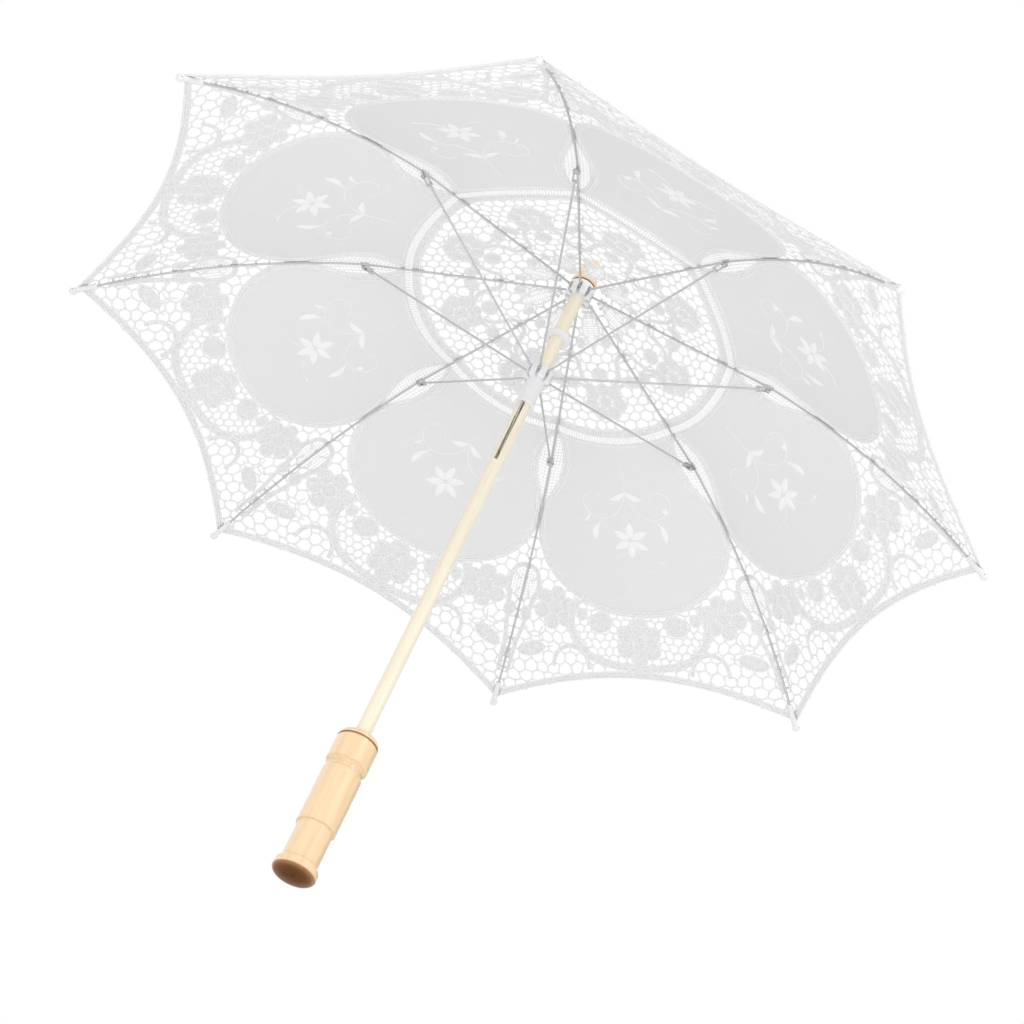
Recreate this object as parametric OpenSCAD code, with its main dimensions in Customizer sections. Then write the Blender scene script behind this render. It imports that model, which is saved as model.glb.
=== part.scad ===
// Lace parasol with eight wire ribs, shown open.
// Frame: millimetres, +Z runs up the shaft from the foot of the handle to the ferrule,
// origin at the centre of the handle's foot face. Rib 1 points to azimuth 0 (+X).

/* [Overall] */
// Length from the handle's foot to the top of the ferrule
total_len = 660; // [640:1:680]
// Number of degrees the folded ribs stay away from the shaft
folded_deg = 15; // [14:0.5:18]

/* [Handle] */
// Length of the turned handle
handle_len = 128; // [120:1:132]
// Diameter of the rounded foot flange
foot_d = 34.5; // [33:0.5:37]
// Diameter of the lower barrel
barrel_d = 28.5; // [27:0.5:29.5]
// Diameter of the grip barrel
grip_d = 31.5; // [30:0.5:33]
// Diameter of the upper collar
collar_d = 33.5; // [32:0.5:35]
// Diameter of the neck between grip and collar
neck_d = 27; // [25:0.5:28]

/* [Shaft] */
// Diameter of the wooden shaft
shaft_d = 12; // [11.8:0.1:12.2]
// Height of the bottom of the slot for the spring catch
slot_z = 416; // [412:1:420]
// Length of the slot for the spring catch
slot_len = 86; // [82:1:100]
// Width of the slot
slot_w = 3; // [2.6:0.1:3.4]
// Azimuth of the slot in degrees
slot_az = -95; // [-98:0.5:-92]
// Diameter of the stop collar below the crown
stop_d = 23; // [20:0.5:25]
// Height of the stop collar's lower face
stop_z = 562; // [556:1:568]

/* [Ferrule] */
// Diameter of the ferrule at its base
ferrule_base_d = 23; // [21:0.5:24]
// Diameter of the ferrule near its top
ferrule_top_d = 16.5; // [15.5:0.5:18]

/* [Crown and runner] */
// Diameter of the crown that carries the ribs
crown_d = 23.5; // [23:0.5:25]
// Diameter of the runner's slotted head
head_d = 22.6; // [22:0.2:24]
// Diameter of the runner's tube
tube_d = 15.4; // [15.2:0.1:15.4]
// Radius of the rings of tie wire
ring_r = 9.5; // [9.5:0.1:9.6]
// Radius of the tie wire itself
wire_r = 0.6; // [0.5:0.05:0.6]

/* [Ribs] */
// Diameter of the rib wire
rib_d = 2; // [1.9:0.1:2.2]
// Diameter of the stretcher wire
stretcher_d = 1.8; // [1.8:0.1:2]
// Radius of the middle joints from the shaft's axis when open
mid_r = 183.3; // [180:0.5:186]
// Height of the middle joints when open
mid_z = 579; // [577:0.5:581]
// Radius of the rib tips when open
tip_r = 403.4; // [398:0.5:408]
// Height of the rib tips when open
tip_z = 453.7; // [448:0.5:458]
// Bend of the outer part of each rib in degrees
rib_bend = 21; // [18:0.5:24]
// Length of each tip cap
cap_len = 24; // [20:1:26]
// Diameter of each tip cap
cap_d = 5; // [4.6:0.1:5]

/* [Cover] */
// Thickness of the lace cloth
cloth_t = 0.7; // [0.5:0.1:0.9]
// How far the hem is cut back midway between two ribs, along the cloth
hem_dip = 29; // [24:1:44]

/* [Hidden] */
$fn = 48;
fit = 0.05;
n_ribs = 8;
step = 360 / n_ribs;
shaft_r = shaft_d / 2;
crown_z = 622;              // height of the rib pivots
crown_lo = 615;
crown_hi = 629.6;
run_z = 520;                // height of the stretcher pivots on the open runner
run_lo = 481.5;
run_hi = 525.3;
eye_t = 1.6;                // thickness of a flattened wire end
lug_drop = 2.6;             // the middle joint hangs this far under its rib
lug_t = 2.6;                // thickness of the lug
rib_r = rib_d / 2;
end_len = cap_len + 2;      // the straight end of a rib, inside its cap

// Centre line of a rib in its own plane: x out from the shaft, z up
p0 = [ring_r, crown_z];
lug_a = atan2(crown_z - mid_z, mid_r - ring_r) + 2;
pm = [mid_r + lug_drop * sin(lug_a), mid_z + lug_drop * cos(lug_a)];
in_a = atan2(p0[1] - pm[1], pm[0] - p0[0]);     // slope of the inner part, downwards
in_len = norm(pm - p0);
chord = [tip_r - pm[0], pm[1] - tip_z];
qa = 2 - 2 * cos(rib_bend);
qb = 2 * end_len * sin(rib_bend);
qc = end_len * end_len - chord * chord;
bend_r = (-qb + sqrt(qb * qb - 4 * qa * qc)) / (2 * qa);
loc = [bend_r * sin(rib_bend) + end_len * cos(rib_bend),
       bend_r * (1 - cos(rib_bend)) + end_len * sin(rib_bend)];
arc_a = atan2(chord[1], chord[0]) - atan2(loc[1], loc[0]);  // slope where the bend begins
end_a = arc_a + rib_bend;                                   // slope at the tip
arc_len = bend_r * rib_bend * PI / 180;
rib_len = in_len + arc_len + end_len;
arc_c = [pm[0] - bend_r * sin(arc_a), pm[1] - bend_r * cos(arc_a)];
p_end = arc_c + bend_r * [sin(end_a), cos(end_a)];

function slope(q) = q <= in_len ? in_a
    : q <= in_len + arc_len ? arc_a + (q - in_len) / bend_r * 180 / PI : end_a;
function on_rib(q) = q <= in_len ? p0 + q * [cos(in_a), -sin(in_a)]
    : q <= in_len + arc_len ? arc_c + bend_r * [sin(slope(q)), cos(slope(q))]
    : p_end + (q - in_len - arc_len) * [cos(end_a), -sin(end_a)];

// Stretcher: from the runner's pivot to the middle joint
st_len = norm([mid_r - ring_r, mid_z - run_z]);
st_a = atan2(mid_z - run_z, mid_r - ring_r);                // slope upwards when open

// Under side of the cloth above a rib, by the distance q along the rib
function clamp01(v) = min(1, max(0, v));
function clear(q) = rib_r + 0.6 + 1.5 * clamp01((q - rib_len + 60) / 34);
function raw(q) = on_rib(q) + clear(q) * [sin(slope(q)), cos(slope(q))];
cloth_top_z = crown_hi + 0.3;
flat_r = 13;
blend_r = 62;
function line_z(x) = crown_z + clear(0) / cos(in_a) - (x - ring_r) * tan(in_a);
function lift(x) = x <= flat_r ? cloth_top_z - line_z(x)
    : x >= blend_r ? 0
    : (cloth_top_z - line_z(flat_r)) * pow((blend_r - x) / (blend_r - flat_r), 2);
function cloth(q) = [raw(q)[0], raw(q)[1] + lift(raw(q)[0])];
function q_at(x) = (x - ring_r - clear(0) * sin(in_a)) / cos(in_a);
function hem_q(t) = rib_len - 7.5 - hem_dip * 4 * t * (1 - t);
rows = 20;
cols = 10;
function row_q(i, t) = i == 0 ? q_at(shaft_r + 0.6) : i == 1 ? q_at(flat_r)
    : q_at(flat_r) + (hem_q(t) - q_at(flat_r)) * (i - 1) / (rows - 1);
// A point of the cloth at share t of the way to the next rib (t from -0.5 to 0.5)
function share(x, t) = min(abs(t), 0.5 - 0.15 / (2 * x * sin(step / 2)));
function sheet_pt(i, t, up) = let (c = cloth(row_q(i, abs(t))), s = share(c[0], t),
    b = t < 0 ? -step : step)
    [c[0] * (1 - s + s * cos(b)), c[0] * s * sin(b), c[1] + up];

function arc_pts(cx, cz, rx, rz, a0, a1, n) =
    [for (i = [0:n]) let (a = a0 + (a1 - a0) * i / n) [cx + rx * cos(a), cz + rz * sin(a)]];

// Turned wooden handle: foot flange, two barrels, neck, collar and a rounded lip
module handle() {
    k = handle_len / 128;
    fr = foot_d / 2;
    br = barrel_d / 2;
    gr = grip_d / 2;
    nr = neck_d / 2;
    cr = collar_d / 2;
    color([0.87, 0.71, 0.50]) difference() {
        rotate_extrude($fn = 96) polygon(concat(
            [[0, 1.6], [2.2, 0], [fr - 3, 0]],
            arc_pts(fr - 3, 3, 3, 3, -90, 0, 8),
            arc_pts(fr - 3, 6.4, 3, 3.2, 0, 80, 8),
            [[br, 9.9], [br, 41.2 * k], [gr - 0.9, 41.6 * k]],
            arc_pts(gr - 0.9, 42.6 * k, 0.9, 0.9, -60, 0, 4),
            arc_pts(gr - 1.2, 91 * k, 1.2, 1.2, 0, 80, 5),
            [[nr + 0.8, 92.8 * k], [nr, 93.8 * k], [nr, 97 * k], [nr + 0.8, 98.2 * k]],
            arc_pts(cr - 1.5, 100.8 * k, 1.5, 1.5, -80, 0, 5),
            arc_pts(cr - 0.6, 119.6 * k, 0.6, 0.6, 0, 90, 4),
            [[cr - 1.3, 120.6 * k], [cr - 1.3, 121.6 * k]],
            arc_pts(cr - 6.6, 121.9 * k, 6.4, handle_len - 121.9 * k, 0, 90, 10),
            [[0, handle_len]]));
        translate([0, 0, 101]) cylinder(h = handle_len, r = shaft_r + fit);
    }
}

// Wooden shaft with the slot for the spring catch
module shaft() {
    color([0.95, 0.91, 0.82]) difference() {
        translate([0, 0, 102]) cylinder(h = total_len - 10 - 102, r = shaft_r);
        rotate([0, 0, slot_az]) translate([-2.8, -slot_w / 2, slot_z])
            cube([shaft_d, slot_w, slot_len]);
    }
}

// Wooden ferrule on top of the shaft, holding the cloth down on the crown
module ferrule() {
    z0 = 631;
    tr = ferrule_top_d / 2;
    color([0.87, 0.71, 0.50]) difference() {
        rotate_extrude($fn = 96) polygon(concat(
            [[0, z0], [ferrule_base_d / 2 - 0.8, z0], [ferrule_base_d / 2, z0 + 0.8],
             [ferrule_base_d / 2, z0 + 3.4], [ferrule_base_d / 2 - 0.9, z0 + 4.4]],
            arc_pts(0, total_len - 5, tr, 5, 0, 90, 10)));
        translate([0, 0, z0 - 1]) cylinder(h = total_len - 9 - z0, r = shaft_r + fit);
    }
}

// Ring groove for a tie wire
module wire_groove(z) {
    translate([0, 0, z]) rotate_extrude($fn = 96) translate([ring_r, 0])
        circle(r = wire_r + fit);
}

// Crown fixed on the shaft: eight slots for the rib ends and a groove for the tie wire
module top_crown() {
    cr = crown_d / 2;
    color([0.97, 0.97, 0.96]) difference() {
        rotate_extrude($fn = 96) polygon([[shaft_r + fit, crown_lo], [cr - 0.6, crown_lo],
            [cr, crown_lo + 0.6], [cr, crown_hi - 1.6], [cr - 1.2, crown_hi],
            [shaft_r + fit, crown_hi]]);
        for (i = [0:n_ribs - 1]) rotate([0, 0, i * step])
            translate([7.1, -1.5, crown_lo - 1]) cube([10, 3, 11.5]);
        wire_groove(crown_z);
    }
}

module tie_wire(z) {
    color([0.78, 0.78, 0.77]) translate([0, 0, z]) rotate_extrude($fn = 96)
        translate([ring_r, 0]) circle(r = wire_r);
}

// Small white collar that stops the runner below the crown
module stop_collar() {
    r = stop_d / 2;
    color([0.97, 0.97, 0.96]) rotate_extrude($fn = 96) polygon([[shaft_r + fit, stop_z],
        [r - 0.8, stop_z], [r, stop_z + 0.8], [r, stop_z + 4], [r - 1.6, stop_z + 6],
        [shaft_r + fit, stop_z + 6]]);
}

// Bent spring wire that holds the runner up; it swings into the slot when pressed
module spring_catch() {
    w = 0.8;
    pts = [[-1, 427], [3.2, 427], [3.9, 452], [8.6, 478.6], [8, 480.5], [3.6, 480.5],
           [2.6, 490]];
    color([0.75, 0.75, 0.76]) rotate([0, 0, slot_az]) for (i = [0:len(pts) - 2]) {
        a = pts[i];
        b = pts[i + 1];
        translate([a[0], 0, a[1]]) rotate([0, atan2(b[0] - a[0], b[1] - a[1]), 0])
            cylinder(h = norm(b - a), r = w, $fn = 24);
        translate([b[0], 0, b[1]]) sphere(r = w * 1.02, $fn = 24);
    }
}

// Sliding runner: tube with a rim and a head cut into eight segments
module runner() {
    tr = tube_d / 2;
    color([0.97, 0.97, 0.96]) difference() {
        rotate_extrude($fn = 96) polygon([[shaft_r + fit, run_lo], [8.6, run_lo],
            [9, run_lo + 0.5], [9, run_lo + 2.4], [8.6, run_lo + 3], [tr, run_lo + 3.6],
            [tr, 510], [head_d / 2 - 1, 510.8], [head_d / 2, 512], [head_d / 2, run_hi - 1.2],
            [head_d / 2 - 1, run_hi], [shaft_r + fit, run_hi]]);
        for (i = [0:n_ribs - 1]) rotate([0, 0, i * step])
            translate([tr, -1.4, 509]) cube([10, 2.8, 20]);
        wire_groove(run_z);
    }
}

// Curved wire rib with its eye in the crown and the lug of its middle joint
module rib(k) {
    color([0.84, 0.84, 0.83]) rotate([0, 0, (k - 1) * step]) difference() {
        union() {
            translate([p0[0], 0, p0[1]]) rotate([0, in_a, 0]) {
                rotate([90, 0, 0]) cylinder(h = eye_t, r = 2.1, center = true);
                rotate([0, 90, 0]) translate([0, 0, 1.4])
                    cylinder(h = in_len - 2.4, r = rib_r, $fn = 32);
            }
            translate([pm[0], 0, pm[1]]) rotate([0, 90 + lug_a, 0])
                cylinder(h = 7, r = rib_r + 0.5, center = true, $fn = 32);
            translate([arc_c[0], 0, arc_c[1]]) rotate([90, 0, 0]) rotate([0, 0, 90 - end_a])
                rotate_extrude(angle = rib_bend, $fn = 360) translate([bend_r, 0])
                circle(r = rib_r, $fn = 32);
            translate([p_end[0], 0, p_end[1]]) rotate([0, 90 + end_a, 0]) translate([0, 0, -0.6])
                cylinder(h = end_len - 5.4, r = rib_r - 0.05, $fn = 32);
            translate([mid_r, 0, mid_z]) rotate([90, 0, 0])
                cylinder(h = lug_t, r = 2.3, center = true);
            translate([mid_r, 0, mid_z]) rotate([0, lug_a, 0])
                translate([-2.2, -lug_t / 2, 0]) cube([4.4, lug_t, lug_drop]);
        }
        translate([mid_r, 0, mid_z]) rotate([90, 0, 0])
            cylinder(h = 6, r = 0.85, center = true);
        translate([p0[0], 0, p0[1]]) rotate([90, 0, 0])
            cylinder(h = 6, r = wire_r + 0.08, center = true);
    }
}

// White cap on the end of a rib, with a bead and a cross hole for the sewing thread
module tip_cap(k) {
    color([0.97, 0.97, 0.96]) rotate([0, 0, (k - 1) * step])
        translate([p_end[0], 0, p_end[1]]) rotate([0, 90 + end_a, 0]) difference() {
            union() {
                translate([0, 0, end_len - cap_len]) cylinder(h = cap_len - 3.3, r = cap_d / 2);
                translate([0, 0, end_len - 3.3]) sphere(r = 3.3);
            }
            translate([0, 0, -1]) cylinder(h = end_len - 4.6, r = rib_r + fit);
            translate([0, 0, end_len - 3]) rotate([90, 0, 0])
                cylinder(h = 10, r = 0.6, center = true);
        }
}

// Rivet of a middle joint
module rivet(k) {
    color([0.72, 0.72, 0.72]) rotate([0, 0, (k - 1) * step]) translate([mid_r, 0, mid_z])
        rotate([90, 0, 0]) {
            cylinder(h = 5.8, r = 0.8, center = true);
            for (s = [-1, 1]) translate([0, 0, s * 2.75]) cylinder(h = 0.5, r = 1.5, center = true);
        }
}

// Straight stretcher: an eye on the runner's wire, a fork around the rib's lug
module stretcher(k) {
    r = stretcher_d / 2;
    color([0.84, 0.84, 0.83]) rotate([0, 0, (k - 1) * step])
        translate([ring_r, 0, run_z]) rotate([0, -st_a, 0]) difference() {
            union() {
                rotate([90, 0, 0]) cylinder(h = eye_t, r = 1.6, center = true);
                translate([1, 0, 0]) rotate([0, 90, 0]) cylinder(h = st_len - 9.6, r = r, $fn = 32);
                translate([st_len - 10, -2.4, -1.3]) cube([1.8, 4.8, 2.6]);
                for (s = [-1, 1]) translate([0, s * 2.05, 0]) {
                    translate([st_len, 0, 0]) rotate([90, 0, 0])
                        cylinder(h = 0.7, r = 2.1, center = true);
                    translate([st_len - 9, -0.35, -1.3]) cube([9, 0.7, 2.6]);
                }
            }
            translate([st_len, 0, 0]) rotate([90, 0, 0]) cylinder(h = 6, r = 0.87, center = true);
            rotate([90, 0, 0]) cylinder(h = 6, r = wire_r + 0.08, center = true);
        }
}

// One gore of the cover: the cloth on both sides of a rib, out to the middle of each panel
module gore(k) {
    n = cols + 1;
    m = (rows + 1) * n;
    pts = [for (up = [0, cloth_t], i = [0:rows], j = [0:cols])
        sheet_pt(i, j / cols - 0.5, up)];
    flat = [for (i = [0:rows - 1], j = [0:cols - 1]) let (a = i * n + j)
        each [[a, a + n, a + n + 1, a + 1], [m + a, m + a + 1, m + a + n + 1, m + a + n]]];
    ends = [for (j = [0:cols - 1]) let (b = rows * n + j)
        each [[j, j + 1, m + j + 1, m + j], [b + 1, b, m + b, m + b + 1]]];
    edges = [for (i = [0:rows - 1]) let (a = i * n, b = i * n + cols)
        each [[a + n, a, m + a, m + a + n], [b, b + n, m + b + n, m + b]]];
    color([0.94, 0.94, 0.93]) rotate([0, 0, (k - 1) * step])
        polyhedron(points = pts, faces = concat(flat, ends, edges), convexity = 4);
}

handle();
shaft();
ferrule();
top_crown();
tie_wire(crown_z);  // crown_wire
stop_collar();
spring_catch();
runner();
tie_wire(run_z);  // runner_wire
rib(1);  // rib_1
rib(2);  // rib_2
rib(3);  // rib_3
rib(4);  // rib_4
rib(5);  // rib_5
rib(6);  // rib_6
rib(7);  // rib_7
rib(8);  // rib_8
tip_cap(1);  // tip_cap_1
tip_cap(2);  // tip_cap_2
tip_cap(3);  // tip_cap_3
tip_cap(4);  // tip_cap_4
tip_cap(5);  // tip_cap_5
tip_cap(6);  // tip_cap_6
tip_cap(7);  // tip_cap_7
tip_cap(8);  // tip_cap_8
rivet(1);  // rivet_1
rivet(2);  // rivet_2
rivet(3);  // rivet_3
rivet(4);  // rivet_4
rivet(5);  // rivet_5
rivet(6);  // rivet_6
rivet(7);  // rivet_7
rivet(8);  // rivet_8
stretcher(1);  // stretcher_1
stretcher(2);  // stretcher_2
stretcher(3);  // stretcher_3
stretcher(4);  // stretcher_4
stretcher(5);  // stretcher_5
stretcher(6);  // stretcher_6
stretcher(7);  // stretcher_7
stretcher(8);  // stretcher_8
gore(1);  // gore_1
gore(2);  // gore_2
gore(3);  // gore_3
gore(4);  // gore_4
gore(5);  // gore_5
gore(6);  // gore_6
gore(7);  // gore_7
gore(8);  // gore_8
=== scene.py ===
import bpy
import numpy as np
from math import sin, cos, tan, atan2, radians, pi, sqrt
from mathutils import Matrix, Vector


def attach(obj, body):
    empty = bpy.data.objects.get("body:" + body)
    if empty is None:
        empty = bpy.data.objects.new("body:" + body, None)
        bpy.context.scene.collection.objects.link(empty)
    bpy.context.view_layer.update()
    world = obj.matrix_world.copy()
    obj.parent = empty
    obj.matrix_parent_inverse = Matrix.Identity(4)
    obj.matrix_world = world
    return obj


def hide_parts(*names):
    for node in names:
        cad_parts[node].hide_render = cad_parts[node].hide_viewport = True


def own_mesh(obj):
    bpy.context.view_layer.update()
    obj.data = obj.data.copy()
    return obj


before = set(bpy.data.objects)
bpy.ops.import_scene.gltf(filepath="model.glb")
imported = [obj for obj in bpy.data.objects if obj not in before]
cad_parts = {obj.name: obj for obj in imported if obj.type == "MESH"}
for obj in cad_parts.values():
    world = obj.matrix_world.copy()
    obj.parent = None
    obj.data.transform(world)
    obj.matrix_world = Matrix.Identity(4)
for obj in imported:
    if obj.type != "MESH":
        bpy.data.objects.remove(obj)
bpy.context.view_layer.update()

# ------------------------------------------------------------------ camera
# Where the camera stands, where it looks and which way is up, in metres. It looks up from below.
CAMERA_AT = Vector((0.40790, -1.61656, -0.85453))
CAMERA_LOOK = Vector((-0.18299, 0.78285, 0.59469)).normalized()
CAMERA_UP = Vector((-0.29945, -0.62055, 0.72474))
cam = bpy.data.cameras.new("camera")
cam.lens = 90.3
cam.sensor_width = 36.0
cam_ob = bpy.data.objects.new("camera", cam)
bpy.context.scene.collection.objects.link(cam_ob)
up = (CAMERA_UP - CAMERA_LOOK * CAMERA_UP.dot(CAMERA_LOOK)).normalized()
right = CAMERA_LOOK.cross(up)
cam_ob.matrix_world = Matrix((
    (right.x, up.x, -CAMERA_LOOK.x, CAMERA_AT.x),
    (right.y, up.y, -CAMERA_LOOK.y, CAMERA_AT.y),
    (right.z, up.z, -CAMERA_LOOK.z, CAMERA_AT.z),
    (0, 0, 0, 1)))
bpy.context.scene.camera = cam_ob


# ------------------------------------------------------------------ materials
def new_material(name, color, rough, spec=0.5):
    m = bpy.data.materials.new(name)
    m.use_nodes = True
    n = m.node_tree.nodes
    p = n["Principled BSDF"]
    p.inputs["Base Color"].default_value = (*color, 1)
    p.inputs["Roughness"].default_value = rough
    p.inputs["Specular IOR Level"].default_value = spec
    return m, m.node_tree, p


def node(t, kind, **values):
    n = t.nodes.new(kind)
    for k, v in values.items():
        if k in n.inputs:
            n.inputs[k].default_value = v
        else:
            setattr(n, k, v)
    return n


def place(t, scale):
    c = node(t, "ShaderNodeTexCoord")
    m = node(t, "ShaderNodeMapping")
    m.inputs["Scale"].default_value = scale
    t.links.new(c.outputs["Object"], m.inputs["Vector"])
    return m.outputs["Vector"]


def ramp(t, fac, stops):
    r = node(t, "ShaderNodeValToRGB")
    r.color_ramp.elements[0].position = stops[0][0]
    r.color_ramp.elements[0].color = (*stops[0][1], 1)
    r.color_ramp.elements[1].position = stops[-1][0]
    r.color_ramp.elements[1].color = (*stops[-1][1], 1)
    for pos, col in stops[1:-1]:
        e = r.color_ramp.elements.new(pos)
        e.color = (*col, 1)
    t.links.new(fac, r.inputs["Fac"])
    return r.outputs["Color"]


def bump(t, p, height, strength, distance):
    b = node(t, "ShaderNodeBump")
    b.inputs["Strength"].default_value = strength
    b.inputs["Distance"].default_value = distance
    t.links.new(height, b.inputs["Height"])
    t.links.new(b.outputs["Normal"], p.inputs["Normal"])


def mix_color(t, fac, a, b, blend="MIX"):
    m = node(t, "ShaderNodeMix", data_type="RGBA", blend_type=blend)
    for value, i in ((fac, 0), (a, 6), (b, 7)):
        if isinstance(value, bpy.types.NodeSocket):
            t.links.new(value, m.inputs[i])
        else:
            m.inputs[i].default_value = value if i == 0 else (*value, 1)
    return m.outputs[2]


def math_node(t, op, a, b=0.0):
    m = node(t, "ShaderNodeMath", operation=op)
    for i, value in enumerate((a, b)):
        if isinstance(value, bpy.types.NodeSocket):
            t.links.new(value, m.inputs[i])
        else:
            m.inputs[i].default_value = value
    return m.outputs[0]


def wood(name, light, dark, rough, coat, foot=None, painted_hollow_shade=None):
    """Lacquered wood, grain along the shaft: foot colours the face it stands on; the last colour is a painted
    shade laid into the hollows, where ambient occlusion finds them sheltered.
    """
    m, t, p = new_material(name, light, rough)
    grain = node(t, "ShaderNodeTexNoise", Scale=1.0, Detail=6.0, Roughness=0.6)
    t.links.new(place(t, (260, 260, 14)), grain.inputs["Vector"])
    fine = node(t, "ShaderNodeTexNoise", Scale=1.0, Detail=3.0, Roughness=0.7)
    t.links.new(place(t, (1500, 1500, 60)), fine.inputs["Vector"])
    both = math_node(t, "ADD", math_node(t, "MULTIPLY", grain.outputs["Fac"], 0.65),
                     math_node(t, "MULTIPLY", fine.outputs["Fac"], 0.35))
    col = ramp(t, both, [(0.36, dark), (0.52, light), (0.66, tuple(min(1, c * 1.05) for c in light))])
    if painted_hollow_shade:
        # painted shade: where ambient occlusion finds the surface sheltered, in grooves and recesses, the
        # colour turns to a deep brown
        shade_ao = node(t, "ShaderNodeAmbientOcclusion", Distance=0.006)
        unshaded = ramp(t, shade_ao.outputs["AO"], [(0.45, (0, 0, 0)), (0.85, (1, 1, 1))])
        col = mix_color(t, unshaded, painted_hollow_shade, col)
    if foot:
        g = node(t, "ShaderNodeNewGeometry")
        s = node(t, "ShaderNodeSeparateXYZ")
        t.links.new(g.outputs["Normal"], s.inputs["Vector"])
        down = ramp(t, math_node(t, "MULTIPLY", s.outputs["Z"], -1.0), [(0.2, (0, 0, 0)), (0.5, (1, 1, 1))])
        c = node(t, "ShaderNodeTexCoord")
        s2 = node(t, "ShaderNodeSeparateXYZ")
        t.links.new(c.outputs["Object"], s2.inputs["Vector"])
        low = math_node(t, "LESS_THAN", s2.outputs["Z"], 0.0035)
        col = mix_color(t, math_node(t, "MULTIPLY", down, low), col, foot)
    t.links.new(col, p.inputs["Base Color"])
    p.inputs["Coat Weight"].default_value = coat
    p.inputs["Coat Roughness"].default_value = 0.22
    t.links.new(ramp(t, fine.outputs["Fac"], [(0.3, (rough + 0.08,) * 3), (0.7, (rough - 0.06,) * 3)]),
                p.inputs["Roughness"])
    bump(t, p, both, 0.12, 0.0004)
    return m


def plastic(name, color):
    m, t, p = new_material(name, color, 0.34)
    n = node(t, "ShaderNodeTexNoise", Scale=900.0, Detail=3.0)
    t.links.new(place(t, (1, 1, 1)), n.inputs["Vector"])
    t.links.new(ramp(t, n.outputs["Fac"], [(0.3, (0.30,) * 3), (0.7, (0.42,) * 3)]), p.inputs["Roughness"])
    t.links.new(mix_color(t, n.outputs["Fac"], tuple(c * 0.97 for c in color), color), p.inputs["Base Color"])
    p.inputs["Subsurface Weight"].default_value = 0.15
    p.inputs["Subsurface Radius"].default_value = (0.002, 0.002, 0.002)
    bump(t, p, n.outputs["Fac"], 0.05, 0.0001)
    return m


def metal(name, color, rough, metallic):
    m, t, p = new_material(name, color, rough)
    p.inputs["Metallic"].default_value = metallic
    n = node(t, "ShaderNodeTexNoise", Scale=1.0, Detail=4.0)
    t.links.new(place(t, (700, 700, 700)), n.inputs["Vector"])
    t.links.new(ramp(t, n.outputs["Fac"], [(0.3, (rough - 0.07,) * 3), (0.7, (rough + 0.1,) * 3)]),
                p.inputs["Roughness"])
    t.links.new(mix_color(t, n.outputs["Fac"], tuple(c * 0.9 for c in color), color), p.inputs["Base Color"])
    bump(t, p, n.outputs["Fac"], 0.08, 0.0001)
    return m


def thread(name, color, painted_shade, turns):
    """Cotton thread: tiny twisted strands, with a painted shade in the grooves between them and a faint
    painted highlight on their tops.
    """
    m, t, p = new_material(name, color, 0.8, 0.25)
    w = node(t, "ShaderNodeTexNoise", Scale=turns, Detail=4.0, Roughness=0.65)
    t.links.new(place(t, (1, 1, 1)), w.inputs["Vector"])
    v = node(t, "ShaderNodeTexVoronoi", Scale=turns * 0.8)
    t.links.new(place(t, (1, 1, 1)), v.inputs["Vector"])
    h = math_node(t, "ADD", math_node(t, "MULTIPLY", w.outputs["Fac"], 0.7),
                  math_node(t, "MULTIPLY", v.outputs["Distance"], 0.6))
    # painted shade: darker where the strands' bump sits low, with a faint painted highlight on the raised
    # tops
    t.links.new(ramp(t, h, [(0.3, painted_shade), (0.62, color), (0.9, tuple(min(1, c * 1.03) for c in color))]),
                p.inputs["Base Color"])
    p.inputs["Sheen Weight"].default_value = 0.25
    p.inputs["Sheen Roughness"].default_value = 0.5
    bump(t, p, h, 0.5, 0.0003)
    return m


def cotton(name, color, painted_shade):
    """Plain-woven cotton: two crossed sets of fine threads with slubs."""
    m, t, p = new_material(name, color, 0.85, 0.2)
    uv = node(t, "ShaderNodeUVMap", uv_map="weave")
    a = node(t, "ShaderNodeTexWave", wave_type="BANDS", bands_direction="X", Scale=95.0, Distortion=1.2)
    b = node(t, "ShaderNodeTexWave", wave_type="BANDS", bands_direction="Y", Scale=95.0, Distortion=1.2)
    for wv in (a, b):
        wv.inputs["Detail Scale"].default_value = 2.0
        t.links.new(uv.outputs["UV"], wv.inputs["Vector"])
    slub = node(t, "ShaderNodeTexNoise", Scale=1.0, Detail=5.0)
    mp = node(t, "ShaderNodeMapping")
    mp.inputs["Scale"].default_value = (9, 60, 1)
    t.links.new(uv.outputs["UV"], mp.inputs["Vector"])
    t.links.new(mp.outputs["Vector"], slub.inputs["Vector"])
    weave = math_node(t, "MAXIMUM", a.outputs["Fac"], b.outputs["Fac"])
    h = math_node(t, "ADD", math_node(t, "MULTIPLY", weave, 0.6),
                  math_node(t, "MULTIPLY", slub.outputs["Fac"], 0.5))
    # painted shade: darker where the weave and the slubs sit low in the bump
    t.links.new(ramp(t, h, [(0.25, painted_shade), (0.8, color)]), p.inputs["Base Color"])
    p.inputs["Sheen Weight"].default_value = 0.15
    p.inputs["Sheen Roughness"].default_value = 0.5
    bump(t, p, h, 0.35, 0.00025)
    return m


# the last colour is the painted shade laid into the handle's grooves and hollows
HANDLE_WOOD = wood("handle_wood", (0.87, 0.64, 0.39), (0.82, 0.57, 0.32), 0.32, 1.0,
                   foot=(0.34, 0.15, 0.045), painted_hollow_shade=(0.36, 0.16, 0.05))
SHAFT_WOOD = wood("shaft_wood", (0.88, 0.81, 0.65), (0.83, 0.74, 0.56), 0.40, 0.2)
PLASTIC = plastic("white_plastic", (0.80, 0.80, 0.81))
RIB = metal("rib_enamel", (0.62, 0.62, 0.63), 0.22, 0.9)
WIRE = metal("bright_wire", (0.62, 0.62, 0.63), 0.26, 0.95)
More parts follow.
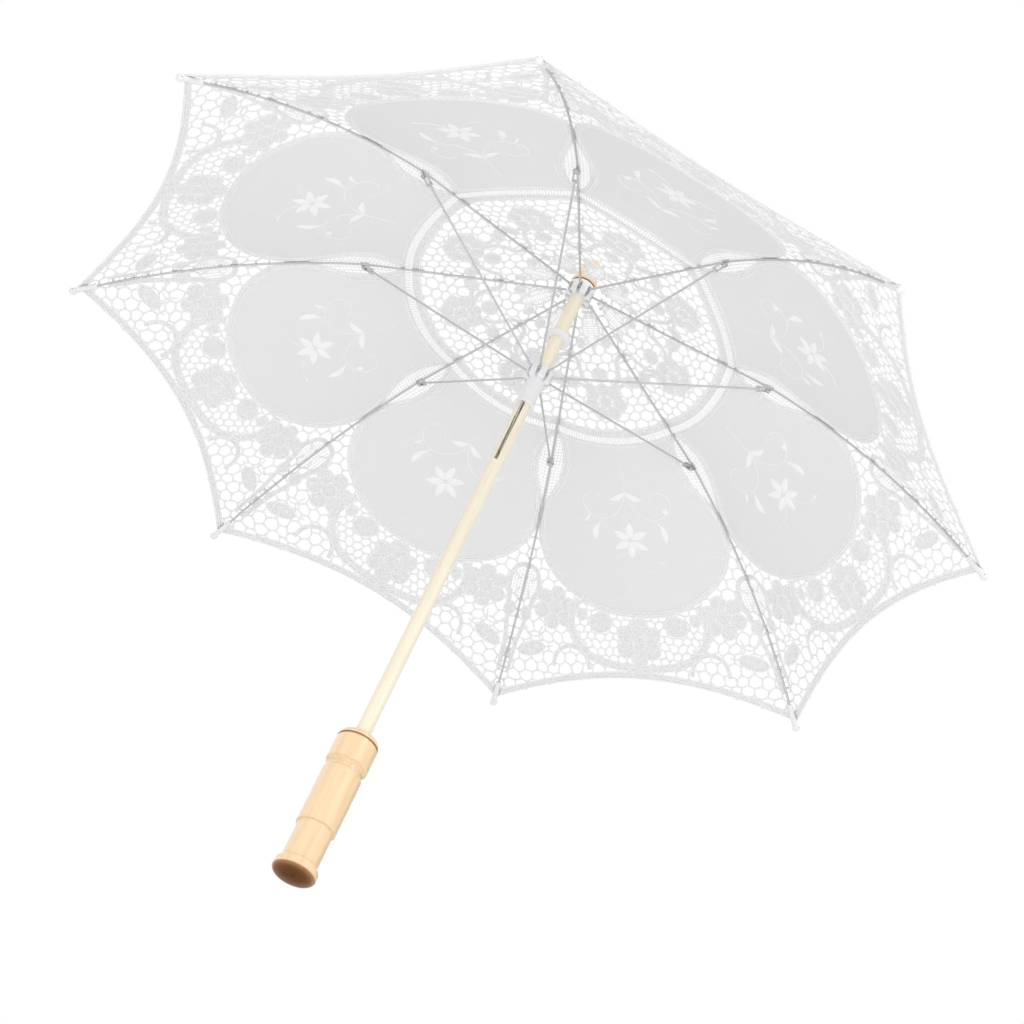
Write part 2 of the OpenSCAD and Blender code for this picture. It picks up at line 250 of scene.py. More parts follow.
# the second colour of each thread or cloth is its painted shade in the hollows of its bump
LACE = thread("lace_thread", (0.86, 0.86, 0.865), (0.56, 0.56, 0.57), 1400.0)
SATIN = thread("embroidery_thread", (0.90, 0.90, 0.905), (0.80, 0.80, 0.81), 1900.0)
# painted shade: the lace's white cotton made darker for the flat tapes, hem band and filled rounds, as if
# shaded between the raised cords
SHADED_GAUZE = thread("shaded_gauze", (0.78, 0.78, 0.79), (0.48, 0.48, 0.49), 1100.0)
CLOTH = cotton("cotton_cloth", (0.82, 0.82, 0.825), (0.73, 0.73, 0.74))

LOOK = {"handle": HANDLE_WOOD, "ferrule": HANDLE_WOOD, "shaft": SHAFT_WOOD, "top_crown": PLASTIC,
        "stop_collar": PLASTIC, "runner": PLASTIC, "tip_cap": PLASTIC, "crown_wire": WIRE,
        "runner_wire": WIRE, "spring_catch": WIRE, "rivet": WIRE, "rib": RIB, "stretcher": RIB}
for name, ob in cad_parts.items():
    base = name.rsplit("_", 1)[0] if name[-1].isdigit() else name
    if base in LOOK:
        if not ob.material_slots:
            ob.data.materials.append(LOOK[base])
        for s in ob.material_slots:
            s.material = LOOK[base]

# ------------------------------------------------------------------ cover geometry, in millimetres
RING_R, CROWN_Z, MID_R, MID_Z, TIP_R, TIP_Z = 9.5, 622.0, 183.3, 579.0, 403.4, 453.7
BEND, END_LEN, LUG, RIB_R, HEM_DIP = radians(21), 26.0, 2.6, 1.0, 29.0
HALF = radians(22.5)
lug_a = atan2(CROWN_Z - MID_Z, MID_R - RING_R) + radians(2)
PM = (MID_R + LUG * sin(lug_a), MID_Z + LUG * cos(lug_a))
IN_A = atan2(CROWN_Z - PM[1], PM[0] - RING_R)
IN_LEN = sqrt((PM[0] - RING_R) ** 2 + (CROWN_Z - PM[1]) ** 2)
cx, cz = TIP_R - PM[0], PM[1] - TIP_Z
qa, qb, qc = 2 - 2 * cos(BEND), 2 * END_LEN * sin(BEND), END_LEN ** 2 - cx * cx - cz * cz
BEND_R = (-qb + sqrt(qb * qb - 4 * qa * qc)) / (2 * qa)
lx, lz = BEND_R * sin(BEND) + END_LEN * cos(BEND), BEND_R * (1 - cos(BEND)) + END_LEN * sin(BEND)
ARC_A = atan2(cz, cx) - atan2(lz, lx)
END_A = ARC_A + BEND
RIB_LEN = IN_LEN + BEND_R * BEND + END_LEN
ARC_C = (PM[0] - BEND_R * sin(ARC_A), PM[1] - BEND_R * cos(ARC_A))
TOP_Z = 629.9


def rib_line(q):
    """Out, up and slope of a rib's centre line at distance q along it."""
    a = np.where(q <= IN_LEN, IN_A, np.clip(ARC_A + (q - IN_LEN) / BEND_R, ARC_A, END_A))
    x = np.where(q <= IN_LEN, RING_R + q * cos(IN_A), ARC_C[0] + BEND_R * np.sin(a))
    z = np.where(q <= IN_LEN, CROWN_Z - q * sin(IN_A), ARC_C[1] + BEND_R * np.cos(a))
    past = np.maximum(0, q - RIB_LEN + END_LEN)
    return x + past * cos(END_A), z - past * sin(END_A), a


def cloth_line(q):
    """Out and up of the middle of the cloth above a rib."""
    q = np.asarray(q, float)
    x, z, a = rib_line(q)
    c = RIB_R + 0.6 + 1.5 * np.clip((q - RIB_LEN + 60) / 34, 0, 1)
    x, z = x + c * np.sin(a), z + c * np.cos(a)
    line = lambda s: CROWN_Z + (RIB_R + 0.6) / cos(IN_A) - (s - RING_R) * tan(IN_A)
    lift = np.where(x <= 13, TOP_Z - line(x), (TOP_Z - line(13)) * np.clip((62 - x) / 49, 0, 1) ** 2)
    return x, z + lift + 0.35


def half_width(v):
    """From the middle line of a panel to the rib, at distance v along the rib."""
    return cloth_line(v)[0] * sin(HALF)


def hem_v(a, v):
    """The hem's distance along the rib, near the point a, v."""
    t = 0.5 * (1 - np.clip(a / half_width(v), 0, 1))
    return RIB_LEN - 7.5 - HEM_DIP * 4 * t * (1 - t)


def place_on_cover(a, v, h, side):
    """Points of the flat pattern put on the cover beside rib 1: a from the panel's middle line
    towards the rib, v along the rib, h proud of the cloth."""
    w = half_width(v)
    t = 0.5 * (1 - np.clip(a / w, 0, 1))
    x, z = cloth_line(v)
    x2, z2 = cloth_line(v + 1.0)
    slope = np.arctan2(z - z2, x2 - x)
    sag = 5.0 * np.sin(np.clip(v / 430, 0, 1) * pi) * 4 * t * (1 - t)
    px = x * (1 - t + t * cos(2 * HALF))
    py = x * t * sin(2 * HALF)
    k = np.clip(t / 0.08, 0, 1)
    k = k * k * (3 - 2 * k)
    panel = np.arctan(np.tan(slope) / cos(HALF))
    nx = np.sin(slope) * (1 - k) + np.sin(panel) * cos(HALF) * k
    ny = np.sin(panel) * sin(HALF) * k
    nz = np.cos(slope) * (1 - k) + np.cos(panel) * k
    n = np.sqrt(nx * nx + ny * ny + nz * nz)
    d = h - sag
    out = np.stack([px + d * nx / n, py + d * ny / n, z + d * nz / n], 1)
    out[:, 1] = np.maximum(out[:, 1], 0.0)
    out[:, 1] *= side
    return out


# ------------------------------------------------------------------ flat pattern of one half gore
# Which thread or cloth a face is made of, in the order of CLOTHS
LACE_FACE, PETAL_FACE, SATIN_FACE, SHADED_GAUZE_FACE = range(4)
CLOTHS = (LACE, CLOTH, SATIN, SHADED_GAUZE)


class Pattern:
    """Solids in flat coordinates: a from the panel's middle, v along the rib, h proud."""

    def __init__(self):
        self.p, self.f, self.m, self.n = [], [], [], 0

    def add(self, pts, faces, mat):
        self.p.append(np.asarray(pts, float))
        self.f += [tuple(i + self.n for i in f) for f in faces]
        self.m += [mat] * len(faces)
        self.n += len(pts)

    def tube(self, path, w, h, mat=LACE_FACE, sides=6, closed=False, z=0.0):
        """Sweep a flat oval along a path; w and h may vary along it."""
        path = np.asarray(path, float)
        n = len(path)
        if n < 2:
            return
        d = np.roll(path, -1, 0) - np.roll(path, 1, 0) if closed else np.gradient(path, axis=0)
        d /= np.maximum(np.linalg.norm(d, axis=1, keepdims=True), 1e-9)
        nor = np.stack([-d[:, 1], d[:, 0]], 1)
        w = np.broadcast_to(np.asarray(w, float), (n,))
        h = np.broadcast_to(np.asarray(h, float), (n,))
        pts = []
        for i in range(n):
            for k in range(sides):
                a = 2 * pi * (k + 0.5) / sides
                o = nor[i] * (w[i] / 2 * cos(a))
                pts.append((path[i, 0] + o[0], path[i, 1] + o[1], z + h[i] / 2 * sin(a)))
        faces = []
        for i in range(n if closed else n - 1):
            j = (i + 1) % n
            for k in range(sides):
                l = (k + 1) % sides
                faces.append((i * sides + k, i * sides + l, j * sides + l, j * sides + k))
        if not closed:
            faces.append(tuple(range(sides - 1, -1, -1)))
            faces.append(tuple((n - 1) * sides + k for k in range(sides)))
        self.add(pts, faces, mat)

    def cord(self, path, w=1.2, h=1.1, mat=LACE_FACE, sides=6):
        for stretch in inside(path):
            self.tube(stretch, w, h, mat, sides)

    def ring(self, c, r, w=1.5, h=1.3, n=20, ry=None, turn=0.0):
        a = np.linspace(0, 2 * pi, n + 1)
        x, y = r * np.cos(a), (ry or r) * np.sin(a)
        turned_x = c[0] + x * cos(turn) - y * sin(turn)
        turned_y = c[1] + x * sin(turn) + y * cos(turn)
        self.cord(np.stack([turned_x, turned_y], 1), w, h)

    def filled(self, c, r, turn=0.0, ry=None, step=2.1):
        """A round or oval of thin cloth with a corded rim, darned with threads side by side."""
        ry = ry or r

        def at(x, y):
            return c[0] + x * cos(turn) - y * sin(turn), c[1] + x * sin(turn) + y * cos(turn)
        rim = [at(r * cos(a), ry * sin(a)) for a in np.linspace(0, 2 * pi, 21)[:-1]]
        rim = [(min(max(x, 0.0), float(half_width(y))), y) for x, y in rim]
        if np.ptp([x for x, _ in rim]) > 0.8:
            m = len(rim)
            mid = np.mean(rim, 0)
            pts = [(x, y, h) for h in (0.12, -0.12) for x, y in rim] + [(*mid, 0.35), (*mid, -0.35)]
            faces = []
            for i in range(m):
                j = (i + 1) % m
                faces += [(i, j, 2 * m), (m + j, m + i, 2 * m + 1), (j, i, m + i, m + j)]
            # the thin cloth of the round is painted shade: darker than the cords of the same white cotton
            self.add(pts, faces, SHADED_GAUZE_FACE)
        self.ring(c, r, 2.0, 1.9, ry=ry, turn=turn)
        k = int(r / step)
        for i in range(-k, k + 1):
            x = i * step
            if abs(x) < r * 0.9:
                y = ry * sqrt(1 - (x / r) ** 2)
                self.cord([at(x, -y), at(x, 0), at(x, y)], 1.0, 1.05, sides=4)

    def knot(self, c, r, h):
        """A small rounded knot where threads meet."""
        if not 0 <= c[0] <= half_width(c[1]):
            return
        rim = [(c[0] + r * cos(a), c[1] + r * sin(a), 0.0) for a in np.linspace(0, 2 * pi, 7)[:-1]]
        faces = [(i, (i + 1) % 6, 6) for i in range(6)] + [((i + 1) % 6, i, 7) for i in range(6)]
        self.add(rim + [(*c, h), (*c, -h)], faces, LACE_FACE)

    def tape(self, path, w=4.4, edge=1.3, stitch=0.0):
        """A woven tape: a thin band with a cord on each edge, and cross stitches."""
        path = smooth(path)
        for stretch in inside(path):
            # the tape's band is painted shade: darker than its edge cords of the same white cotton
            self.tube(stretch, w, 0.55, SHADED_GAUZE_FACE, sides=4)
        for s in (-1, 1):
            self.cord(offset(path, s * w * 0.46), edge, 1.4)
        if stitch:
            self.rungs(path, w * 0.8, stitch, 0.8, 0.95)

    def rungs(self, path, width, pitch, w=1.0, h=0.9):
        """Short bars across a path."""
        path = smooth(path)
        seg = np.linalg.norm(np.diff(path, axis=0), axis=1)
        s = np.concatenate([[0], np.cumsum(seg)])
        a, b = offset(path, -width / 2), offset(path, width / 2)
        for d in np.arange(pitch / 2, s[-1], pitch):
            ends = [[np.interp(d, s, e[:, 0]), np.interp(d, s, e[:, 1])] for e in (a, b)]
            self.cord(ends, w, h, sides=4)


def smooth(path, per=6):
    """Points of a smooth curve through given points."""
    p = np.asarray(path, float)
    if len(p) > 12:
        return p
    e = np.vstack([2 * p[0] - p[1], p, 2 * p[-1] - p[-2]])
    out = []
    for i in range(1, len(e) - 2):
        for k in range(per):
            t = k / per
            out.append(0.5 * (2 * e[i] + (e[i + 1] - e[i - 1]) * t
                              + (2 * e[i - 1] - 5 * e[i] + 4 * e[i + 1] - e[i + 2]) * t * t
                              + (3 * e[i] - e[i - 1] - 3 * e[i + 1] + e[i + 2]) * t ** 3))
    return np.array(out + [p[-1]])


def offset(path, d):
    g = np.gradient(np.asarray(path, float), axis=0)
    g /= np.maximum(np.linalg.norm(g, axis=1, keepdims=True), 1e-9)
    return path + d * np.stack([-g[:, 1], g[:, 0]], 1)


def inside(path):
    """The stretches of a path between the middle line and the rib, cut at the edges."""
    p = np.asarray(path, float)
    lim = half_width(p[:, 1])
    out, run = [], []
    ok = (p[:, 0] >= -1e-6) & (p[:, 0] <= lim + 1e-6)
    for i in range(len(p)):
        if ok[i]:
            if not run and i:
                run.append(cut(p[i - 1], p[i]))
            run.append(p[i])
        elif run:
            run.append(cut(p[i], p[i - 1]))
            out.append(np.array(run))
            run = []
    if run:
        out.append(np.array(run))
    return [r for r in out if len(r) > 1 and np.linalg.norm(r[-1] - r[0]) + np.ptp(r) > 0.3]


def cut(outer, inner):
    """Where the line from inner to outer leaves the half gore."""
    lo, hi = 0.0, 1.0
    for _ in range(12):
        mid = (lo + hi) / 2
        q = inner + (outer - inner) * mid
        if -1e-6 <= q[0] <= half_width(q[1]):
            lo = mid
        else:
            hi = mid
    return inner + (outer - inner) * lo


def circle_path(r, n=24):
    """A circle round the top at distance r, as it lies in the flat pattern."""
    a = np.linspace(r * sin(HALF), 0, n)
    return np.stack([a, np.sqrt(r * r - a * a)], 1)


def from_rib(points):
    """Points given as distance from the rib and distance along it."""
    p = np.asarray(points, float)
    return np.stack([half_width(p[:, 1]) - p[:, 0], p[:, 1]], 1)


def in_poly(x, y, poly):
    inside_ = False
    for (x1, y1), (x2, y2) in zip(poly, np.roll(poly, -1, 0)):
        if (y1 > y) != (y2 > y) and x < (x2 - x1) * (y - y1) / (y2 - y1) + x1:
            inside_ = not inside_
    return inside_


# distances along the rib of the petal's top edge at the middle, its inner corner and its outer end
PETAL_TOP, PETAL_CORNER, PETAL_END = 158.5, 150.0, 331.5
# outline of the cotton petal, from its inner corner round to the middle of its outer end
PETAL = smooth([(50, 150), (50, 166), (52, 182), (59, 198), (71, 214), (82, 229), (87.5, 242),
                (90, 256), (89, 271), (85, 285), (77, 298), (64, 311)], 8)
PETAL = np.vstack([PETAL, smooth([(64, 311), (47, 322), (29, 328.5), (13, 331), (0, 331.5)], 8)[1:]])
TOP_EDGE = np.array([(a, sqrt(PETAL_TOP ** 2 - a * a)) for a in np.linspace(0, 50, 13)])
# half width of the mesh leaf beside the rib, at distances along the rib
LEAF_EDGE = np.array([(0, 146), (6, 155), (11, 169), (13.5, 184), (12, 198), (8.5, 212), (5, 225),
                      (2.6, 237), (1.5, 250)], float)
LEAF = smooth(from_rib(LEAF_EDGE), 5)
# the sign of an offset that moves the petal's outline outwards
OUT = 1 if offset(PETAL, 1.0)[30, 0] > PETAL[30, 0] else -1
PETAL_POLY = np.vstack([TOP_EDGE, offset(PETAL, OUT * 4.5)])


# the basket tape that closes off the border's inner part
BASKET = [(60, 322), (66.5, 334), (69, 348), (65, 363), (54, 375.5), (38, 383), (19, 386.5), (0, 387)]
BASKET_POLY = np.array(BASKET + [(0, 300), (60, 300)], float)


def build_pattern(variant):
    """One half gore as a flat pattern. The variants differ only in the embroidery."""
    g = Pattern()
    masks = []                      # filled discs where the open net is left out

    # --- cotton petal, a thin closed sheet
    rows, cols = 44, 22
    s = np.linspace(0, 1, rows + 1)
    idx = s * (len(PETAL) - 1)
    oa = np.interp(idx, range(len(PETAL)), PETAL[:, 0])
    ov = np.interp(idx, range(len(PETAL)), PETAL[:, 1])
    mv = PETAL_TOP + (PETAL_END - PETAL_TOP) * np.clip((ov - PETAL_CORNER) / (PETAL_END - PETAL_CORNER), 0, 1)
    pts, faces = [], []
    for i in range(rows):
        for j in range(cols + 1):
            w = j / cols
            pts.append((oa[i] * w, mv[i] + (ov[i] - mv[i]) * w ** 2))
    m = len(pts)
    top = [(a, v, 0.18) for a, v in pts]
    bot = [(a, v, -0.18) for a, v in pts]
    for i in range(rows - 1):
        for j in range(cols):
            q = i * (cols + 1) + j
            faces.append((q, q + 1, q + cols + 2, q + cols + 1))
            faces.append((m + q, m + q + cols + 1, m + q + cols + 2, m + q + 1))
    edge = list(range(cols + 1)) + [i * (cols + 1) + cols for i in range(1, rows)]
    edge += [(rows - 1) * (cols + 1) + j for j in range(cols - 1, -1, -1)]
    edge += [i * (cols + 1) for i in range(rows - 2, 0, -1)]
    for a, b in zip(edge, edge[1:] + edge[:1]):
        faces.append((b, a, m + a, m + b))
    g.add(top + bot, faces, PETAL_FACE)

    # --- petal edging: a raised cord, then a stitched tape
    for d, w in ((0.4, 2.1), (2.7, 2.3), (4.9, 1.6)):
        g.cord(offset(PETAL, OUT * d), w, w * 0.85)
    g.rungs(offset(PETAL, OUT * 2.7), 3.6, 2.6, 0.8, 1.2)
    g.cord(TOP_EDGE, 1.9, 1.7)

    # --- mesh leaf over the rib between two petals
    g.cord(LEAF, 1.8, 1.6)
    g.tape(offset(LEAF, -2.2 if offset(LEAF, -1.0)[12, 0] < LEAF[12, 0] else 2.2), 2.4, 0.9)
    for v in np.arange(152, 230, 3.4):
        e = np.interp(v, LEAF_EDGE[:, 1], LEAF_EDGE[:, 0])
        g.cord(from_rib([(0, v), (e, v + 0.2)]), 0.75, 0.7, sides=4)
    for e in (1.7, 5.1, 8.5, 11.4):
        vs = [v for v in np.arange(148, 236, 2.0) if np.interp(v, LEAF_EDGE[:, 1], LEAF_EDGE[:, 0]) > e]
        if len(vs) > 1:
            g.cord(from_rib([(e, v) for v in vs]), 0.75, 0.7, sides=4)

    # --- centre: small ring, ladder leaf, open net, scalloped tape, flower
    g.tape(circle_path(12.5), 2.2, 0.9)
    g.tape(circle_path(17.0), 1.8, 0.8)
    g.rungs(circle_path(15.0), 4.0, 2.2, 0.7, 0.8)
    ladder = smooth([(0, 16), (5.0, 21), (8.0, 30), (7.0, 40), (3.0, 48), (0, 52)], 6)
    g.cord(ladder, 1.7, 1.5)
    for v in np.arange(20, 49, 2.3):
        a = np.interp(v, ladder[:, 1], ladder[:, 0])
        g.cord([(0, v), (a, v + 0.6)], 0.9, 0.9, sides=4)
    g.cord([(2.4, 19), (3.4, 30), (2.0, 46)], 0.8, 0.8, sides=4)
    scallop = from_rib([(0, 60), (5, 61), (10, 66), (13, 74), (18, 84), (26, 91), (33, 94), (40, 95)])
    g.tape(scallop, 3.6, 1.0, 2.2)
    g.tape([(0, 95), (9, 94.5), (18, 92), (26, 86)], 3.6, 1.0, 2.2)
    g.filled((0, 80), 7.5, pi / 2)
    masks.append((0, 80, 7.5))
    g.filled((0, 109), 5.5)
    for k in range(7):
        a = radians(-90 + k * 360 / 7)
        c = (14.0 * cos(a), 109 + 13.2 * sin(a))
        if c[0] > -6.5:
            g.filled(c, 6.4, a + pi / 2, ry=6.0)
            masks.append((c[0], c[1], 6.6))
    masks.append((0, 109, 8))
    g.filled(tuple(from_rib([(7.5, 88)])[0]), 7.0, radians(40), ry=5.0)
    g.filled(tuple(from_rib([(9, 46)])[0]), 5.0, radians(70), ry=3.4)

    # --- ring round the medallion
    g.cord(circle_path(140.5), 1.5, 1.4)
    g.tape(circle_path(145.0), 6.0, 1.3)
    g.rungs(circle_path(145.0), 4.4, 2.5, 0.9, 1.1)
    g.rungs(circle_path(152.2), 6.4, 2.6, 1.5, 1.0)
    g.tape(circle_path(156.3), 2.4, 1.3)

    # --- border: arch with fine mesh on the rib
    arch = from_rib([(0, 291), (6, 292.5), (11.5, 298), (14.5, 307), (15, 318), (12, 327)])
    g.tape(arch, 3.6, 1.0, 2.0)
    for v in np.arange(297, 326, 3.0):
        e = min(11.5, 4 + (v - 294) * 0.9)
        g.cord(from_rib([(0, v), (e, v + 0.5)]), 0.7, 0.7, sides=4)
    for e in (1.5, 4.5, 7.5, 10.5):
        g.cord(from_rib([(e, 295 + e * 0.7), (e, 310), (e, 326)]), 0.7, 0.7, sides=4)
    masks.append((*from_rib([(3, 311)])[0], 12))

    # --- border: clusters of thread-filled rounds
    for c, n, ra, r, turn in (((85, 332), 6, 14.6, 7.2, 12), ((0, 362), 6, 15.4, 7.9, 30)):
        g.filled(c, 6.4)
        masks.append((*c, 8))
        for k in range(n):
            a = radians(turn + k * 360 / n)
            q = (c[0] + ra * cos(a), c[1] + ra * sin(a))
            if q[0] > -r:
                g.filled(q, r, a + pi / 2)
                masks.append((*q, r))
    g.filled((38, 344), 11.5, radians(20), ry=9.5)
    masks.append((38, 344, 10.5))
    g.filled((57, 337), 6.0, radians(70), ry=4.6)
    masks.append((57, 337, 5))
    g.filled(tuple(from_rib([(24, 375)])[0]), 14, radians(10), ry=6.4)
    masks += [(*from_rib([(24, 375)])[0], 6), (*from_rib([(33, 376)])[0], 5), (*from_rib([(15, 374)])[0], 5)]
    g.filled(tuple(from_rib([(9, 340)])[0]), 7.0, radians(80), ry=5.0)
    masks.append((*from_rib([(9, 340)])[0], 6))

    # --- border: basket tape, loop, stem along the rib
    g.tape(BASKET, 7.0, 1.5, 2.4)
    g.tape([(52, 392), (54.5, 380), (64, 371), (76, 370.5), (86, 378), (90, 391)], 3.6, 1.0, 2.2)
    g.tape(from_rib([(12, 327), (9, 352), (6.5, 366), (5.5, 384), (5, 402)]), 3.2, 1.0, 2.2)
    g.rungs(from_rib([(2, 360), (2, 380), (2, 402)]), 4.0, 5.0, 0.9, 0.9)
    g.cord(smooth([(100, 352), (104, 362), (98, 372), (90, 371)], 5), 1.5, 1.3)
    g.cord(smooth(from_rib([(34, 356), (28, 362), (18, 361), (12, 352)]), 5), 1.5, 1.3)

    # --- hem: two parallel braids with stitches between, and a row of long cells inside
    aa = np.linspace(0, 1, 40)
    t = 0.5 * (1 - aa)
    hv = RIB_LEN - 7.5 - HEM_DIP * 4 * t * (1 - t)

    def hem(d):
        return np.stack([aa * half_width(hv - d), hv - d], 1)
    # the hem's band is painted shade: darker than its braids of the same white cotton
    g.tube(hem(3.7), 6.6, 0.6, SHADED_GAUZE_FACE, 4)
    for d in (1.3, 3.7, 6.2):
        g.cord(hem(d), 2.1, 1.9)
    g.rungs(hem(3.7), 5.0, 2.6, 0.7, 1.4)

    # --- open net of uneven cells between the shapes
    def centre(i, j, size):
        r1 = sin(i * 12.9898 + j * 78.233 + size) * 43758.5453
        r2 = sin(i * 39.346 + j * 11.135 + size) * 24634.6345
        return np.array([size * (i + 0.5 * (j % 2) + 0.5 * (r1 - np.floor(r1) - 0.5)),
                         8 + size * (0.866 * j + 0.5 * (r2 - np.floor(r2) - 0.5))])

    def corner(i, j, up, size):
        third = centre(i + j % 2, j + (1 if up else -1), size)
        return (centre(i, j, size) + centre(i + 1, j, size) + third) / 3

    def blocked(q, size):
        a, v = max(q[0], 0.3), q[1]
        if v < 14 or v > hem_v(a, v) - 7 or sqrt(a * a + v * v) < 19:
            return True
        if 141 < sqrt(a * a + v * v) < 158 or 148 < v < 256:
            return True
        if v > 150 and in_poly(a, v, PETAL_POLY):
            return True
        if size != (10.4 if v < 150 else 8.6 if in_poly(a, v, BASKET_POLY) else 12.0):
            return True
        if v < 50 and a < np.interp(v, ladder[:, 1], ladder[:, 0]):
            return True
        return any((a - x) ** 2 + (v - y) ** 2 < r * r for x, y, r in masks)

    for size in (8.6, 10.4, 12.0):
        knots = set()
        for j in range(0, int(490 / size)):
            for i in range(-2, int(165 / size)):
                low = (i - (j + 1) % 2, j + 1, False)
                for e in (((i, j, True), (i, j, False)), (low, (i, j, True)), (low, (i - 1, j, True))):
                    p, q = corner(*e[0], size), corner(*e[1], size)
                    if max(p[0], q[0]) < 0 or min(p[1], q[1]) < 8 or max(p[1], q[1]) > 432:
                        continue
                    if min(p[0], q[0]) > half_width(max(p[1], q[1])) + 2:
                        continue
                    if blocked(p, size) and blocked(q, size):
                        continue
                    g.cord([p, (p + q) / 2, q], 1.8, 1.3, sides=5)
                    knots |= set(e)
        for k in sorted(knots):
            g.knot(corner(*k, size), 1.8, 0.8)

    # --- embroidery on the petal, raised on both faces
    def drop(p, q, w, blunt=0.75, bend=0.0):
        p, q = np.array(p, float), np.array(q, float)
        s_ = np.linspace(0.02, 0.98, 9)
        d = q - p
        nrm = np.array([-d[1], d[0]])
        path = p + s_[:, None] * d + (bend * np.sin(pi * s_))[:, None] * nrm
        prof = np.sin(pi * s_ ** blunt) ** 0.8
        g.tube(path, np.maximum(w * prof, 0.4), np.maximum(1.7 * prof ** 0.5, 0.5), SATIN_FACE, 8)

    def stem(points, w=1.0):
        for stretch in inside(smooth(points, 5)):
            g.tube(stretch, w, 1.0, SATIN_FACE, 6)

    for start, end in ((256, 239), (260, 277)):
        s_ = np.linspace(0.02, 0.98, 9)
        prof = np.sin(pi * s_ ** 0.8) ** 0.8
        path = np.stack([np.zeros(9), start + (end - start) * s_], 1)
        g.tube(path, np.maximum(8.5 * prof, 0.4), np.maximum(1.7 * prof ** 0.5, 0.5), SATIN_FACE, 8)
    drop((1.2, 257), (16.5, 248.5), 8.0)
    drop((1.2, 259.5), (17, 267.5), 8.0)
    drop((0.8, 208), (17, 216), 6.4, 0.9, 0.12)
    stem([(0, 207), (2, 216), (8, 227), (17, 234), (27, 237)])
    drop((27, 237), (35.5, 260), 6.6, 1.5, -0.12)
    stem([(27, 237), (36, 232), (42.5, 224), (42, 214), (35, 208.5), (27, 210), (23.5, 216)], 0.9)
    if variant:
        drop((34.5, 229), (40, 225), 6.0, 0.9)
        stem([(6, 268), (14, 277), (27, 280)], 0.8)
        drop((27, 280), (33, 279), 2.4)
    else:
        drop((38, 231), (45, 240), 3.6, 1.1, 0.1)
        stem([(5, 266), (16, 276), (30, 277)], 0.8)
    stem([(0, 176), (0, 190), (0, 207)], 0.7)
    return g


PATTERNS = [build_pattern(0), build_pattern(1)]

# ------------------------------------------------------------------ put the pattern on the eight gores
# When the parasol folds, each half gore rides with its rib, so that its free
# edge comes near the next gore's. It is not exact: the edges part or cross by some millimetres. The
# part inside the ring is a piece of its own, split off from the border where the flat pattern reaches
# RING_SPLIT millimetres from the top.
RING_SPLIT = 149.3


def piece(name, pts, P, faces, mats):
    """One mesh object from the chosen faces, with the flat pattern kept as its UV map."""
    used = sorted({i for f in faces for i in f})
    new = {old: i for i, old in enumerate(used)}
    me = bpy.data.meshes.new(name)
    me.from_pydata(pts[used].tolist(), [], [tuple(new[i] for i in f) for f in faces])
    for mat in CLOTHS:
        me.materials.append(mat)
    me.polygons.foreach_set("material_index", mats)
    me.polygons.foreach_set("use_smooth", [True] * len(faces))
    uv = me.uv_layers.new(name="weave")
    loops = np.empty(len(me.loops), int)
    me.loops.foreach_get("vertex_index", loops)
    uv.data.foreach_set("uv", (P[np.array(used)][loops][:, :2] / 100).ravel())
    me.update()
    me.set_sharp_from_angle(angle=radians(70))
    ob = bpy.data.objects.new(name, me)
    bpy.context.scene.collection.objects.link(ob)
    return ob


for k in range(1, 9):
    az = radians(45 * (k - 1))
    c, s = cos(az), sin(az)
    for side, word in ((1, "left"), (-1, "right")):
        pat = PATTERNS[1 if side > 0 else 0]
        P = np.concatenate(pat.p)
        pts = place_on_cover(np.maximum(P[:, 0], 0), P[:, 1], P[:, 2], side) / 1000
        pts = np.stack([pts[:, 0] * c - pts[:, 1] * s, pts[:, 0] * s + pts[:, 1] * c, pts[:, 2]], 1)
        faces = [f[::-1] for f in pat.f] if side > 0 else pat.f
        reach = [np.hypot(*P[list(f), :2].mean(0)) for f in pat.f]
        groups = {"petal": [i for i, m in enumerate(pat.m) if m == PETAL_FACE],
                  "centre": [i for i, m in enumerate(pat.m) if m != PETAL_FACE and reach[i] < RING_SPLIT],
                  "border": [i for i, m in enumerate(pat.m) if m != PETAL_FACE and reach[i] >= RING_SPLIT]}
        for part, ids in groups.items():
            ob = piece(f"{part}_{k}_{word}", pts, P, [faces[i] for i in ids], [pat.m[i] for i in ids])
            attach(ob, f"rib_{k}")
            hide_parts(f"gore_{k}")
            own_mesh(ob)

# ------------------------------------------------------------------ stage
floor = bpy.data.meshes.new("floor")
floor.from_pydata([(-3, -3, 0), (3, -3, 0), (3, 3, 0), (-3, 3, 0)], [], [(0, 1, 2, 3)])
fl = bpy.data.objects.new("floor", floor)
fl.location.z = -0.002
fl.visible_shadow = False
bpy.context.scene.collection.objects.link(fl)
m, t, p = new_material("pale_floor", (0.9, 0.9, 0.9), 0.9, 0.1)
back = node(t, "ShaderNodeNewGeometry")
clear = node(t, "ShaderNodeBsdfTransparent")
mixer = node(t, "ShaderNodeMixShader")
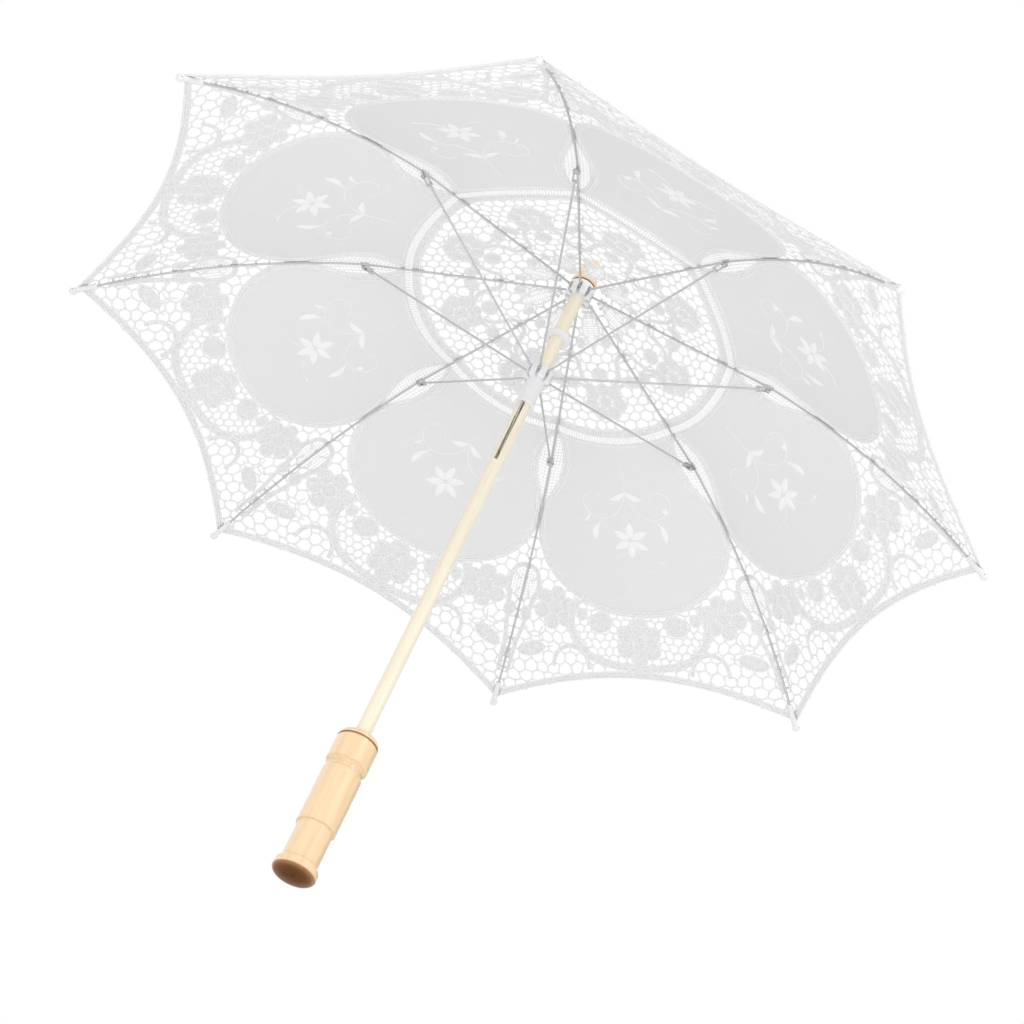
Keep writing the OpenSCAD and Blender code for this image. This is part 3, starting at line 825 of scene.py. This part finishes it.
t.links.new(back.outputs["Backfacing"], mixer.inputs["Fac"])
t.links.new(p.outputs[0], mixer.inputs[1])
t.links.new(clear.outputs[0], mixer.inputs[2])
t.links.new(mixer.outputs[0], t.nodes["Material Output"].inputs["Surface"])
floor.materials.append(m)

world = bpy.data.worlds.new("studio")
world.use_nodes = True
t = world.node_tree
sky = t.nodes["Background"]
sky.inputs["Strength"].default_value = 1.0
way = node(t, "ShaderNodeSeparateXYZ")
t.links.new(node(t, "ShaderNodeNewGeometry").outputs["Incoming"], way.inputs["Vector"])
level = math_node(t, "MULTIPLY", way.outputs["Z"], -1.0)
soft = ramp(t, math_node(t, "ADD", math_node(t, "MULTIPLY", level, 0.5), 0.5),
            [(0.2, (0.76, 0.76, 0.765)), (0.6, (0.93, 0.93, 0.93))])
side_way = math_node(t, "ADD", math_node(t, "MULTIPLY", way.outputs["X"], -0.7),
                     math_node(t, "MULTIPLY", way.outputs["Z"], 0.7))
shine = ramp(t, math_node(t, "ADD", math_node(t, "MULTIPLY", side_way, 0.5), 0.5),
             [(0.30, (1.1, 1.1, 1.1)), (0.50, (0.06, 0.06, 0.06)), (0.80, (1.0, 1.0, 1.0))])
ray = node(t, "ShaderNodeLightPath")
col = mix_color(t, ray.outputs["Is Glossy Ray"], soft, shine)
col = mix_color(t, ray.outputs["Is Camera Ray"], col, (1, 1, 1))
t.links.new(col, sky.inputs["Color"])
bpy.context.scene.world = world


def lamp(name, at, to, size, watts):
    l = bpy.data.lights.new(name, "AREA")
    l.shape = "DISK"
    l.size = size
    l.energy = watts
    o = bpy.data.objects.new(name, l)
    o.location = at
    o.rotation_euler = (Vector(to) - Vector(at)).to_track_quat("-Z", "Y").to_euler()
    o.visible_camera = False
    bpy.context.scene.collection.objects.link(o)


lamp("key", (1.3, -1.1, 1.6), (0, 0, 0.5), 1.2, 8)
lamp("under", (0.4, -1.2, -0.5), (0.1, 0, 0.55), 0.8, 5)

bpy.context.scene.view_settings.view_transform = "Standard"
